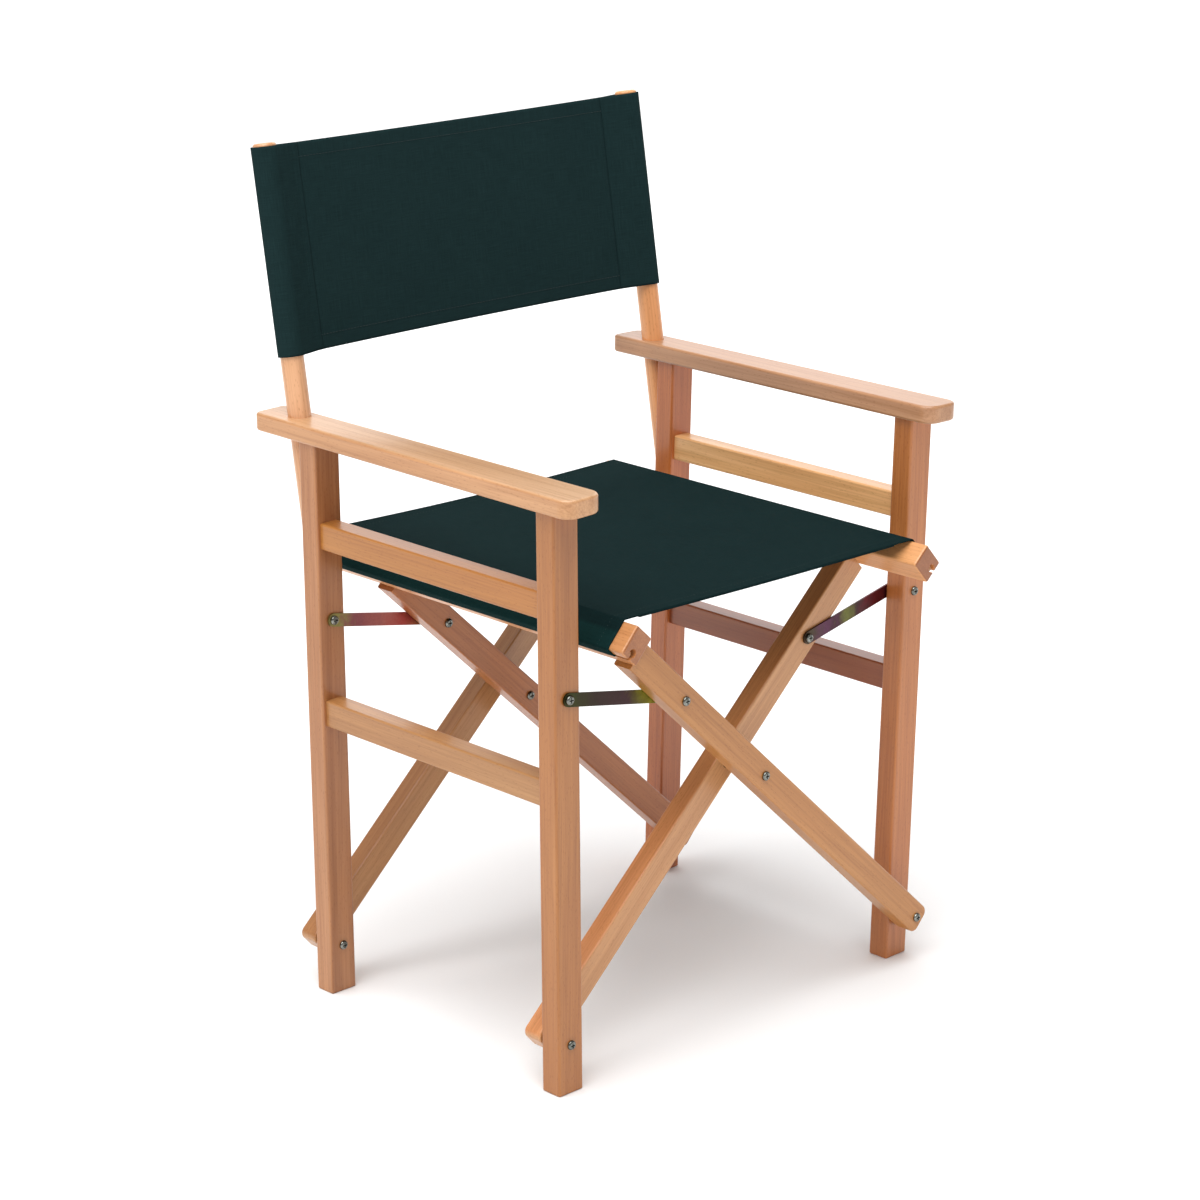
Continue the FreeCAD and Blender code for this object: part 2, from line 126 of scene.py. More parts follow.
class Graph:
    """A material with a Principled shader, and short ways to add and link its nodes."""

    def __init__(self, name):
        self.material = bpy.data.materials.new(name)
        self.material.use_nodes = True
        self.tree = self.material.node_tree
        self.tree.nodes.clear()
        self.output = self.add("ShaderNodeOutputMaterial")
        self.shader = self.add("ShaderNodeBsdfPrincipled")
        self.link(self.shader.outputs[0], self.output.inputs[0])

    def add(self, kind, **settings):
        node = self.tree.nodes.new(kind)
        for key, value in settings.items():
            setattr(node, key, value)
        return node

    def link(self, a, b):
        self.tree.links.new(a, b)

    def feed(self, socket, value):
        """Link a socket or set a constant."""
        if hasattr(value, "is_output"):
            self.link(value, socket)
        else:
            socket.default_value = value

    def set(self, **values):
        """Feed the shader's sockets; an underscore stands for a space in a socket's name."""
        for key, value in values.items():
            self.feed(self.shader.inputs[key.replace("_", " ")], value)

    def coordinates(self, kind="Object"):
        return self.add("ShaderNodeTexCoord").outputs[kind]

    def split(self, vector):
        """The x, y and z sockets of a vector."""
        node = self.add("ShaderNodeSeparateXYZ")
        self.link(vector, node.inputs[0])
        return node.outputs

    def mapping(self, source, location=(0, 0, 0), rotation=(0, 0, 0), scale=(1, 1, 1)):
        node = self.add("ShaderNodeMapping")
        self.link(source, node.inputs["Vector"])
        node.inputs["Location"].default_value = location
        node.inputs["Rotation"].default_value = rotation
        node.inputs["Scale"].default_value = scale
        return node.outputs[0]

    def noise(self, source, scale, detail=2.0, roughness=0.5, distortion=0.0):
        """Noise with its own scale along each axis, in cells per metre."""
        node = self.add("ShaderNodeTexNoise")
        self.link(self.mapping(source, scale=scale), node.inputs["Vector"])
        node.inputs["Scale"].default_value = 1.0
        node.inputs["Detail"].default_value = detail
        node.inputs["Roughness"].default_value = roughness
        node.inputs["Distortion"].default_value = distortion
        return node.outputs[0]

    def ramp(self, factor, stops):
        """Colour ramp with (position, colour) stops."""
        node = self.add("ShaderNodeValToRGB")
        self.link(factor, node.inputs[0])
        elements = node.color_ramp.elements
        while len(elements) < len(stops):
            elements.new(0.5)
        for element, (position, colour) in zip(elements, stops):
            element.position = position
            element.color = (*colour, 1.0)
        return node.outputs[0]

    def math(self, operation, *values):
        node = self.add("ShaderNodeMath", operation=operation)
        for socket, value in zip(node.inputs, values):
            self.feed(socket, value)
        return node.outputs[0]

    def mix(self, factor, a, b, blend="MIX"):
        node = self.add("ShaderNodeMix", data_type="RGBA", blend_type=blend)
        self.feed(node.inputs["Factor"], factor)
        self.feed(node.inputs["A"], a)
        self.feed(node.inputs["B"], b)
        return node.outputs["Result"]

    def tint(self, strength, colour, factor, stops):
        """Multiply a colour by a ramp's tones."""
        return self.mix(strength, colour, self.ramp(factor, stops), "MULTIPLY")

    def bump(self, height, strength, distance, normal=None):
        node = self.add("ShaderNodeBump")
        node.inputs["Strength"].default_value = strength
        node.inputs["Distance"].default_value = distance
        self.link(height, node.inputs["Height"])
        if normal is not None:
            self.link(normal, node.inputs["Normal"])
        return node.outputs[0]


# ---------------------------------------------------------------- wood
# Tones that multiply the wood's own colour, as (position on the ramp, tone)
BROAD_TONES = ((0.32, (0.88, 0.84, 0.79)), (0.5, WHITE), (0.7, (1.06, 1.08, 1.12)))
RING_TONES = ((0.0, WHITE), (0.72, (0.975, 0.96, 0.94)), (0.93, (0.90, 0.85, 0.79)),
              (1.0, (0.98, 0.97, 0.96)))
FINE_TONES = ((0.34, (0.84, 0.78, 0.71)), (0.52, (0.98, 0.97, 0.96)), (0.68, (1.05, 1.06, 1.08)))
CLOUD_TONES = ((0.3, (0.93, 0.91, 0.88)), (0.7, (1.04, 1.05, 1.06)))
FLECK_TONES = ((0.12, (0.72, 0.61, 0.50)), (0.24, WHITE))
# Cosines between which the painted light and shade on a face fades in
PAINTED_LIGHT_FROM, PAINTED_LIGHT_FULL = 0.55, 0.85


def wood(name, base, turn, seed, painted_face_light=None):
    """Lacquered beech-like wood; the grain runs along X after the turn.

    The last argument, if given, is a (direction, tone) pair of painted light and shade: the colour
    of the faces looking that way is multiplied by the tone.
    """
    g = Graph(name)
    turned = g.mapping(g.coordinates(), location=(0.37 * seed, 0.91 * seed, 0.53 * seed),
                       rotation=turn)
    wander = g.noise(turned, (2.2, 9, 9))
    fine = g.noise(turned, (9, 480, 480), detail=4.0, roughness=0.6)
    streak = g.noise(turned, (2.4, 95, 95), detail=3.0, roughness=0.55, distortion=0.2)
    broad = g.noise(turned, (1.6, 30, 30), distortion=0.15)
    cloud = g.noise(turned, (5.0, 22, 22))

    # Year rings, cut at a slight angle so that they run out along the timber
    rings = g.add("ShaderNodeTexWave", wave_type="BANDS", bands_direction="Y", wave_profile="SAW")
    g.link(g.mapping(turned, rotation=(0.7, 0.012, 0.016)), rings.inputs["Vector"])
    rings.inputs["Scale"].default_value = 40.0
    rings.inputs["Distortion"].default_value = 3.2
    rings.inputs["Detail"].default_value = 2.0
    rings.inputs["Detail Scale"].default_value = 0.35

    # Short dark rays, a millimetre or two long, scattered along the grain
    ray = g.add("ShaderNodeTexVoronoi", feature="F1")
    g.link(g.mapping(turned, scale=(120, 560, 560)), ray.inputs["Vector"])
    ray.inputs["Scale"].default_value = 1.0

    light = tuple(min(1.0, c) for c in scaled(base, (1.10, 1.14, 1.20)))
    deep = scaled(base, (0.86, 0.79, 0.70))
    red = scaled(base, (1.0, 0.87, 0.76))
    colour = g.ramp(streak, ((0.28, deep), (0.5, base), (0.74, light)))
    colour = g.mix(g.ramp(wander, ((0.35, grey(0.0)), (0.68, grey(0.5)))), colour, (*red, 1.0))
    colour = g.tint(0.8, colour, broad, BROAD_TONES)
    colour = g.tint(0.42, colour, rings.outputs["Fac"], RING_TONES)
    colour = g.tint(0.9, colour, fine, FINE_TONES)
    colour = g.tint(0.8, colour, cloud, CLOUD_TONES)
    colour = g.tint(0.7, colour, ray.outputs["Distance"], FLECK_TONES)
    # Painted light and shade: faces that look one way are darkened or lightened by a tone
    if painted_face_light:
        direction, tone = painted_face_light
        facing = g.add("ShaderNodeVectorMath", operation="DOT_PRODUCT")
        g.link(g.coordinates("Normal"), facing.inputs[0])
        facing.inputs[1].default_value = direction
        stops = ((PAINTED_LIGHT_FROM, WHITE), (PAINTED_LIGHT_FULL, tone))
        colour = g.tint(1.0, colour, facing.outputs["Value"], stops)

    grain = g.bump(fine, 0.10, 0.0004)
    g.set(Base_Color=colour, Roughness=g.math("MULTIPLY_ADD", fine, 0.10, 0.34), IOR=1.5,
          Coat_Weight=0.30, Coat_Roughness=0.16, Coat_IOR=1.55,
          Normal=g.bump(cloud, 0.12, 0.0012, grain))
    return g.material


def dress(node, material):
    """Give a CAD node its material."""
    obj = NODES[node]
    if not obj.material_slots:
        obj.data.materials.append(material)
    for entry in obj.material_slots:
        entry.link = "OBJECT"
        entry.material = material


# The crossed legs rise 220 mm for every 241 mm outwards
CROSS_ANGLE = math.atan2(0.220, 0.241)

# Turns that lay the grain along a timber
ALONG_Y = (0.0, 0.0, math.radians(-90.0))
ALONG_Z = (0.0, math.radians(90.0), 0.0)
ALONG_POST = (math.radians(9.9), math.radians(90.0), 0.0)
ALONG_RIGHT_CROSS_LEG = (0.0, -CROSS_ANGLE, 0.0)
ALONG_LEFT_CROSS_LEG = (0.0, CROSS_ANGLE, 0.0)

# Each timber's sRGB colour and the turn of its grain; a timber's place in the list seeds its grain.
# The colours hold painted light and shade, matched piece by piece to how lit each piece looks: the
# left lower side rail is darkened with painted shade from the seat, and the left upper side rail is
# paled against the armrest's shadow on it.
TIMBER = {
    "right_front_leg": ((178, 117, 60), ALONG_Z),
    "right_rear_leg": ((183, 126, 80), ALONG_Z),
    "left_front_leg": ((187, 116, 60), ALONG_Z),
    "left_rear_leg": ((191, 110, 54), ALONG_Z),
    "right_armrest": ((203, 153, 108), ALONG_Y),
    "left_armrest": ((190, 142, 104), ALONG_Y),
    "right_upper_side_rail": ((182, 120, 54), ALONG_Y),
    "right_lower_side_rail": ((180, 129, 78), ALONG_Y),
    "left_upper_side_rail": ((249, 198, 140), ALONG_Y),
    "left_lower_side_rail": ((143, 75, 32), ALONG_Y),
    "right_back_post": ((226, 172, 128), ALONG_POST),
    "left_back_post": ((245, 178, 120), ALONG_POST),
    "front_cross_leg_right": ((188, 128, 66), ALONG_RIGHT_CROSS_LEG),
    "rear_cross_leg_right": ((178, 108, 54), ALONG_RIGHT_CROSS_LEG),
    "front_cross_leg_left": ((208, 156, 106), ALONG_LEFT_CROSS_LEG),
    "rear_cross_leg_left": ((190, 140, 90), ALONG_LEFT_CROSS_LEG),
    "seat_rail_right": ((220, 158, 104), ALONG_Y),
    "seat_rail_left": ((228, 168, 112), ALONG_Y),
    "seat_dowel_right": ((206, 168, 130), ALONG_Y),
    "seat_dowel_left": ((206, 168, 130), ALONG_Y),
}

# Painted light and shade by the way a face looks: painted shade on the left crossed legs' upper
# faces under the seat and on the right rear leg's front face, a painted sheen on the right
# armrest's top, and darker front end faces on the seat rails, partly end grain, partly painted shade
FORWARD = (0.0, -1.0, 0.0)
UPWARD = (0.0, 0.0, 1.0)
LEFT_CROSS_LEG_UPPER = (-0.674, 0.0, 0.738)
PAINTED_FACE_LIGHTS = {
    "front_cross_leg_left": (LEFT_CROSS_LEG_UPPER, (1.02, 0.84, 0.74)),
    "rear_cross_leg_left": (LEFT_CROSS_LEG_UPPER, (0.76, 0.66, 0.56)),
    "right_rear_leg": (FORWARD, (0.86, 0.80, 0.74)),
    "right_armrest": (UPWARD, (1.05, 1.19, 1.38)),
    "seat_rail_right": (FORWARD, (0.58, 0.46, 0.36)),
    "seat_rail_left": (FORWARD, (0.42, 0.29, 0.20)),
}


def dress_wood():
    for number, (node, (colour, turn)) in enumerate(TIMBER.items()):
        dress(node, wood("wood_" + node, linear(*colour), turn, 1.0 + number, PAINTED_FACE_LIGHTS.get(node)))


# ---------------------------------------------------------------- metal
def zinc(name):
    """Bright zinc plate with faint clouding."""
    g = Graph(name)
    cloud = g.noise(g.coordinates(), (260, 260, 260), detail=3.0, roughness=0.55)
    g.set(Base_Color=g.ramp(cloud, ((0.3, linear(86, 88, 82)), (0.7, linear(152, 154, 148)))),
          Metallic=1.0, Roughness=g.math("MULTIPLY_ADD", cloud, 0.14, 0.14),
          Normal=g.bump(cloud, 0.05, 0.0002))
    return g.material


# How far patches of tarnish shift the tones along a link, as a share of its length
TARNISH_DRIFT = 0.28


def chromated_steel(name, ends, tones):
    """Yellow-passivated steel strap whose tarnish changes colour from one end to the other.

    ends are the two x positions the tones run between; tones are (share, colour) pairs.
    """
    g = Graph(name)
    place = g.coordinates()
    x = g.split(place)[0]
    patches = g.noise(place, (60, 60, 60), detail=3.0, distortion=0.6)
    speckle = g.noise(place, (420, 420, 420), detail=3.0, roughness=0.6)
    span = ends[1] - ends[0]
    share = g.math("MULTIPLY_ADD", x, 1 / span, -ends[0] / span - TARNISH_DRIFT / 2)
    drift = g.math("MULTIPLY", patches, TARNISH_DRIFT)
    colour = g.ramp(g.math("ADD", share, drift), tones)
    colour = g.tint(0.6, colour, speckle, ((0.3, grey(0.78)), (0.7, grey(1.12))))
    g.set(Base_Color=colour, Metallic=0.85,
          Roughness=g.math("MULTIPLY_ADD", speckle, 0.16, 0.26),
          Normal=g.bump(speckle, 0.08, 0.0002))
    return g.material


# Tarnish from each link's screw in the side frame to its screw in the crossed leg
TARNISH = {
    "link_right_front": ((0.10, (54, 56, 28)), (0.26, (54, 42, 36)), (0.55, (62, 42, 44)),
                         (0.66, (84, 76, 38)), (0.76, (140, 142, 50))),
    "link_right_rear": ((0.13, (136, 130, 78)), (0.22, (132, 78, 82)), (0.50, (160, 92, 84)),
                        (0.68, (158, 66, 60)), (0.85, (150, 98, 68))),
    "link_left_front": ((0.08, (96, 40, 46)), (0.30, (104, 36, 44)), (0.44, (70, 48, 50)),
                        (0.57, (104, 106, 56)), (0.68, (74, 48, 58)), (0.78, (90, 54, 76)),
                        (0.92, (74, 62, 48))),
    "link_left_rear": ((0.13, (132, 128, 76)), (0.35, (150, 92, 84)), (0.60, (120, 110, 66)),
                       (0.85, (150, 84, 92))),
}


def dress_metal():
    plate = zinc("zinc_plate")
    for node in NODES:
        if node.endswith(("_screws", "_nuts", "_washers", "_spacers")):
            dress(node, plate)
    for node, stops in TARNISH.items():
        low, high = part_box(node)
        ends = (low[0], high[0]) if node.startswith("link_right") else (high[0], low[0])
        stops = [(share, linear(*colour)) for share, colour in stops]
        dress(node, chromated_steel("tarnish_" + node, ends, stops))


# ---------------------------------------------------------------- cloth materials
THREAD_PITCH = 0.00085
THREAD_WANDER = 0.00012
# Distance over which the painted light at the cloth's ends reaches its full tone
EDGE_LIGHT_BLEND = 0.003


def canvas_cloth(name, face, painted_light_edge=None):
    """Dark woven canvas; the threads follow the piece's UV map, which is in metres.

    The last argument, if given, is (edge width, cloth length, tone): painted light, the cloth within
    that width of either end is paler.
    """
    g = Graph(name)
    uv = g.add("ShaderNodeUVMap", uv_map="cloth").outputs[0]
    u, v = g.split(uv)[:2]
    drift = g.math("MULTIPLY", g.noise(uv, (260, 260, 1)), THREAD_WANDER)

    def threads(across):
        phase = g.math("MULTIPLY", g.math("ADD", across, drift), 2 * math.pi / THREAD_PITCH)
        return g.math("SINE", phase)

    warp, weft = threads(u), threads(v)
    over = g.math("MULTIPLY", warp, weft)
    thread = g.math("ADD", g.math("ABSOLUTE", warp), g.math("ABSOLUTE", weft))
    height = g.math("ADD", g.math("MULTIPLY", thread, 0.5), g.math("MULTIPLY", over, 0.35))

    warp_slub = g.noise(uv, (1400, 45, 1), roughness=0.6)
    weft_slub = g.noise(uv, (45, 1400, 1), roughness=0.6)
    slub = g.math("MULTIPLY", g.math("ADD", warp_slub, weft_slub), 0.5)
    broad = g.noise(uv, (14, 14, 1), detail=3.0, roughness=0.55)
    dark = scaled(face, grey(0.80))
    pale = tuple(min(1.0, c) for c in scaled(face, grey(1.22)))
    colour = g.ramp(slub, ((0.34, dark), (0.5, face), (0.68, pale)))
    # Painted shade down between the threads, and a painted highlight on their crowns
    colour = g.tint(0.5, colour, height, ((0.1, grey(0.72)), (0.8, grey(1.08))))
    colour = g.tint(0.7, colour, broad, ((0.3, (0.93, 0.94, 0.95)), (0.7, (1.06, 1.05, 1.05))))
    # Painted light: the cloth is paler near either end
    if painted_light_edge:
        width, length, tone = painted_light_edge
        # The ramp's range starts half way, where the plain cloth ends and the painted light at the
        # edge begins
        off_centre = g.math("ABSOLUTE", g.math("SUBTRACT", u, length / 2))
        past_plain = g.math("SUBTRACT", off_centre, length / 2 - width - 0.5)
        colour = g.tint(1.0, colour, past_plain, ((0.5, WHITE), (0.5 + EDGE_LIGHT_BLEND, tone)))
    weave = g.bump(height, 0.35, 0.00018)
    g.set(Base_Color=colour, Roughness=0.9, Specular_IOR_Level=0.03,
          Normal=g.bump(broad, 0.25, 0.002, weave))
    return g.material


def stitch_thread(name):
    """Matt sewing thread, a little paler than the canvas."""
    g = Graph(name)
    ply = g.noise(g.coordinates(), (2600, 2600, 2600))
    g.set(Base_Color=g.ramp(ply, ((0.3, linear(20, 34, 35)), (0.7, linear(34, 54, 54)))),
          Roughness=0.7, Normal=g.bump(ply, 0.4, 0.0002))
    return g.material


# ---------------------------------------------------------------- cloth building
CLOTH = 0.0012

STITCH_LENGTH = 0.0028
STITCH_GAP = 0.0012
STITCH_WIDTH = 0.0007
STITCH_LIFT = 0.0007
STITCH_SINK = 0.0002
# Places along a stitch where its section is drawn, and the section's share of full size at its ends
STITCH_PLACES = (0.0, 0.18, 0.5, 0.82, 1.0)
STITCH_END_SIZE = 0.35
STITCH_SIDES = 6


def spread(low, high, spacing):
    """Values from low to high, about the spacing apart."""
    count = max(2, round((high - low) / spacing))
    return [low + (high - low) * i / count for i in range(count + 1)]


def rounded(points, radius, steps):
    """Replace each inner corner of a line of 2D points by a short arc."""
    out = [Vector(points[0])]
    for before, corner, after in zip(points, points[1:], points[2:]):
        before, corner, after = Vector(before), Vector(corner), Vector(after)
        a, b = before - corner, after - corner
        angle = a.angle(b)
        if angle > math.radians(175):
            out.append(corner)
            continue
        cut = min(radius / math.tan(angle / 2), 0.45 * a.length, 0.45 * b.length)
        start, end = corner + a.normalized() * cut, corner + b.normalized() * cut
        for i in range(steps + 1):
            t = i / steps
            out.append(start * (1 - t) ** 2 + corner * 2 * t * (1 - t) + end * t ** 2)
    out.append(Vector(points[-1]))
    return out


def resample(line, spacing):
    """Points every so often along a line, keeping its own points."""
    out = [line[0]]
    for a, b in zip(line, line[1:]):
        count = max(1, round((b - a).length / spacing))
        out += [a.lerp(b, (i + 1) / count) for i in range(count)]
    return out


def running_length(line):
    """How far along a line each of its points is."""
    run = [0.0]
    for a, b in zip(line, line[1:]):
        run.append(run[-1] + (b - a).length)
    return run


def smooth_shading(mesh):
    for polygon in mesh.polygons:
        polygon.use_smooth = True


def grid_object(name, rows, columns, place, uv, material, thickness=CLOTH):
    """Cloth surface from a grid of places, with a UV map in metres, made solid."""
    mesh = bpy.data.meshes.new(name)
    verts = [tuple(place(i, j)) for i in range(rows) for j in range(columns)]
    faces = [(i * columns + j, i * columns + j + 1, (i + 1) * columns + j + 1, (i + 1) * columns + j)
             for i in range(rows - 1) for j in range(columns - 1)]
    mesh.from_pydata(verts, [], faces)
    layer = mesh.uv_layers.new(name="cloth")
    for loop in mesh.loops:
        layer.data[loop.index].uv = uv(loop.vertex_index // columns, loop.vertex_index % columns)
    smooth_shading(mesh)
    mesh.materials.append(material)
    obj = add_object(name, mesh)
    solid = obj.modifiers.new("thick", "SOLIDIFY")
    solid.thickness = thickness
    solid.offset = 0.0
    bpy.context.view_layer.update()
    depsgraph = bpy.context.evaluated_depsgraph_get()
    made = bpy.data.meshes.new_from_object(obj.evaluated_get(depsgraph), depsgraph=depsgraph)
    obj.modifiers.clear()
    obj.data = made
    smooth_shading(made)
    return obj


def stitches(name, line, normal_of, material):
    """A row of short thread stitches along a line of points, standing a little proud."""
    run = running_length(line)

    def at(s):
        """Place, direction and segment number at a distance along the line."""
        k = next(k for k in range(len(run) - 1) if s <= run[k + 1])
        t = (s - run[k]) / (run[k + 1] - run[k])
        return line[k].lerp(line[k + 1], t), (line[k + 1] - line[k]).normalized(), k

    bm = bmesh.new()
    s = STITCH_GAP
    while s + STITCH_LENGTH < run[-1]:
        rings = []
        for share in STITCH_PLACES:
            centre, along, k = at(s + share * STITCH_LENGTH)
            normal = normal_of(k)
            side = along.cross(normal).normalized()
            bulge = math.sin(math.pi * min(max(share, 0.06), 0.94))
            size = STITCH_END_SIZE + (1 - STITCH_END_SIZE) * bulge
            centre = centre + normal * (STITCH_LIFT * size - STITCH_SINK)
            half = 0.5 * STITCH_WIDTH * size
            ring = []
            for corner in range(STITCH_SIDES):
                a = math.radians(corner * 360 / STITCH_SIDES)
                offset = side * half * math.cos(a) + normal * half * 0.8 * math.sin(a)
                ring.append(bm.verts.new(centre + offset))
            rings.append(ring)
        for low, high in zip(rings, rings[1:]):
            for i in range(STITCH_SIDES):
                after = (i + 1) % STITCH_SIDES
                bm.faces.new((low[i], low[after], high[after], high[i]))
        bm.faces.new(rings[0][::-1])
        bm.faces.new(rings[-1])
        s += STITCH_LENGTH + STITCH_GAP
    mesh = bpy.data.meshes.new(name)
    bm.to_mesh(mesh)
    bm.free()
    smooth_shading(mesh)
    mesh.materials.append(material)
    return add_object(name, mesh)


# ---------------------------------------------------------------- seat canvas
# The rails in the plane of the crossed legs: a distance along a leg from the crossing, and one
# square to the leg. The cloth goes over a rail's top and outer face and into the groove below.
CROSSING_Z = 0.271
RAIL_TOP = {RIGHT: 0.271, LEFT: 0.280}
RAIL_OUTER = {RIGHT: -0.0105, LEFT: -0.0075}
RAIL_INNER = {RIGHT: 0.0205, LEFT: 0.0235}
GROOVE_DOWN = 0.0125
INTO_GROOVE = 0.0019
CLOTH_CLEARANCE = 0.0003
WRAP_RADIUS = 0.0026

# The cloth's front and rear edges at either rail, and where along x those are
SEAT_FRONT = {RIGHT: -0.2000, LEFT: -0.2304}
SEAT_REAR = {RIGHT: 0.2210, LEFT: 0.1920}
SEAT_SIDE_X = {RIGHT: -0.186, LEFT: 0.191}
SEAT_DEPTH = 0.4215
SEAT_SAG = 0.0032

# The free edges pull in and lift between the rails, by less and less away from the edge
FREE_HALF = 0.186
PULL_IN, PULL_REACH = 0.0022, 0.03
EDGE_LIFT, LIFT_REACH = 0.0012, 0.02

SEAT_HEM = 0.018
SEAT_HEM_STEPS = 7
SEAT_HEM_HALF = 0.168
SEAT_ROW = 0.012
SEAT_STITCH_IN = SEAT_HEM - 0.0035


def rail_point(side, along, square):
    """A point of the crossed legs' plane as (x, z)."""
    x = -along * math.cos(CROSS_ANGLE) + square * math.sin(CROSS_ANGLE)
    z = CROSSING_Z + along * math.sin(CROSS_ANGLE) + square * math.cos(CROSS_ANGLE)
    return Vector((-side * x, z))


def seat_profile():
    """Middle line of the seat cloth across the chair, as (x, z), from one groove to the other."""
    off = CLOTH_CLEARANCE + CLOTH / 2
    ends = {}
    for side in (RIGHT, LEFT):
        outer, inner, top = RAIL_OUTER[side], RAIL_INNER[side], RAIL_TOP[side]
        wrap = [(top - GROOVE_DOWN, outer + INTO_GROOVE), (top - GROOVE_DOWN, outer - off),
                (top + off, outer - off), (top + off, inner + off)]
        ends[side] = [rail_point(side, along, square) for along, square in wrap]
    right, left = ends[RIGHT], ends[LEFT][::-1]
    line = resample(rounded(right + left, WRAP_RADIUS, 5), 0.006)
    start, end = right[-1].x, left[0].x
    for point in line:
        share = (point.x - start) / (end - start)
        if 0 < share < 1:
            point.y -= SEAT_SAG * (4 * share * (1 - share)) ** 1.2
    return line


def seat_rows():
    """Distances from the front edge at which the cloth has a row of points, closer at the hems."""
    near_edge = [0.0, 0.003, 0.007, 0.012, SEAT_HEM - 0.0015, SEAT_HEM, SEAT_HEM + 0.002]
    between = range(1, int((SEAT_DEPTH - 2 * SEAT_HEM) / SEAT_ROW))
    rows = near_edge + [SEAT_HEM + SEAT_ROW * k for k in between]
    rows += [SEAT_DEPTH - row for row in near_edge]
    return sorted({round(row, 5) for row in rows})


def seat_point(point, t):
    """Where the cloth is at a point of the profile and a distance t from its front edge."""
    share = (point.x - SEAT_SIDE_X[RIGHT]) / (SEAT_SIDE_X[LEFT] - SEAT_SIDE_X[RIGHT])
    share = min(max(share, 0.0), 1.0)
    front = SEAT_FRONT[RIGHT] * (1 - share) + SEAT_FRONT[LEFT] * share
    rear = SEAT_REAR[RIGHT] * (1 - share) + SEAT_REAR[LEFT] * share
    free = 1 - min(1.0, abs(point.x) / FREE_HALF) ** 2
    edge = min(t, SEAT_DEPTH - t)
    pull = PULL_IN * free * math.exp(-edge / PULL_REACH)
    y = front + (rear - front) * t / SEAT_DEPTH + (pull if t < SEAT_DEPTH / 2 else -pull)
    return Vector((point.x, y, point.y + EDGE_LIFT * free * math.exp(-edge / LIFT_REACH)))


def seat_hem(name, from_edge, line, lengths, cloth):
    """Turned hem: a second layer under the cloth; from_edge turns a depth into the hem into t."""
    start = next(i for i, point in enumerate(line) if point.x > -SEAT_HEM_HALF)
    stop = next(i for i, point in enumerate(line) if point.x > SEAT_HEM_HALF)

    def depth_in(j):
        return SEAT_HEM * j / (SEAT_HEM_STEPS - 1)

    def place(i, j):
        k = start + i
        tangent = (line[k + 1] - line[k - 1]).normalized()
        down = Vector((tangent.y, 0.0, -tangent.x))
        return seat_point(line[k], from_edge(depth_in(j))) + down * (CLOTH * 1.05)

    return grid_object(name, stop - start, SEAT_HEM_STEPS, place,
                       lambda i, j: (lengths[start + i], depth_in(j)), cloth, CLOTH * 0.95)


def seat_stitching(name, from_edge, line, thread):
    """Row of stitches over a hem, short of the grooves at both ends."""
    seam = [seat_point(point, from_edge(SEAT_STITCH_IN)) for point in line][3:-3]

    def outward(k):
        run = seam[k + 1] - seam[k]
        run.y = 0
        run.normalize()
        return Vector((-run.z, 0, run.x))

    return stitches(name, seam, outward, thread)


def build_seat(line, cloth, thread):
    lengths = running_length(line)
    rows = seat_rows()
    depth = SEAT_DEPTH
    seat = grid_object("seat_cloth", len(line), len(rows),
                       lambda i, j: seat_point(line[i], rows[j]),
                       lambda i, j: (lengths[i], rows[j]), cloth)
    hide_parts("seat_canvas")

    hems = []
    for end, from_edge in (("front", lambda inward: inward), ("rear", lambda inward: depth - inward)):
        hems.append(seat_hem("seat_hem_" + end, from_edge, line, lengths, cloth))
        hems.append(seat_stitching("seat_stitch_" + end, from_edge, line, thread))

    for piece in [seat] + hems:
        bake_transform(piece)


# ---------------------------------------------------------------- back canvas
# The posts' axes: out from the middle, back at the armrests' top, and back per unit of height
POST_X = 0.2485
POST_Y = 0.1913
POST_LEAN = 0.174
ARM_TOP = 0.6039

# The cloth's bottom and top edges, and how far they bow in between the posts
BACK_BOTTOM_Z, BACK_TOP_Z = 0.6625, 0.865
BACK_BOTTOM_BOW, BACK_TOP_BOW, BOW_REACH = 0.0016, 0.0012, 0.05
BACK_EDGE_ROWS = (0.0, 0.003, 0.008, 0.014, 0.0165, 0.018)
BACK_HEM_STITCH_IN = 0.0145

# A sleeve's section: flat at its seam, flared towards the post, and round the post's outer side
SEAM_IN = 0.040
SLEEVE_GAP = 0.0007
SLEEVE_FLARE = ((0.0, 0.0), (0.010, 0.0022), (0.019, 0.0058))
SLEEVE_RADIUS = 0.0132
SLEEVE_WRAP = math.radians(118)
SLEEVE_WRAP_STEPS = 30
SLEEVE_STITCH_OUT = 0.0035

# The panel laps into the sleeves' seams, and dishes a little between them
PANEL_LAP = 0.007
PANEL_DISH = 0.0015

BACK_ORIGIN = Vector((0.0, POST_Y, ARM_TOP))
BACK_UP = Vector((0.0, POST_LEAN, 1.0)).normalized()
BACK_FORWARD = Vector((0.0, -1.0, POST_LEAN)).normalized()
BACK_LOW = (BACK_BOTTOM_Z - ARM_TOP) * math.hypot(1.0, POST_LEAN)
BACK_HIGH = (BACK_TOP_Z - ARM_TOP) * math.hypot(1.0, POST_LEAN)


def back_point(x, s, ahead):
    """A place by its x, its distance s up the posts and its distance ahead of their plane."""
    span = 1 - min(1.0, abs(x) / POST_X) ** 2
    top = math.exp(-(BACK_HIGH - s) / BOW_REACH)
    bottom = math.exp(-(s - BACK_LOW) / BOW_REACH)
    bow = span * (BACK_BOTTOM_BOW * bottom - BACK_TOP_BOW * top)
    return BACK_ORIGIN + Vector((x, 0, 0)) + BACK_UP * (s + bow) + BACK_FORWARD * ahead


def back_levels():
    """Distances up the posts at which the cloth has a row of points, closer at the hems."""
    levels = [BACK_LOW + row for row in BACK_EDGE_ROWS]
    s = BACK_LOW + 0.026
    while s < BACK_HIGH - 0.024:
        levels.append(s)
        s += 0.010
    return levels + [BACK_HIGH - row for row in reversed(BACK_EDGE_ROWS)]


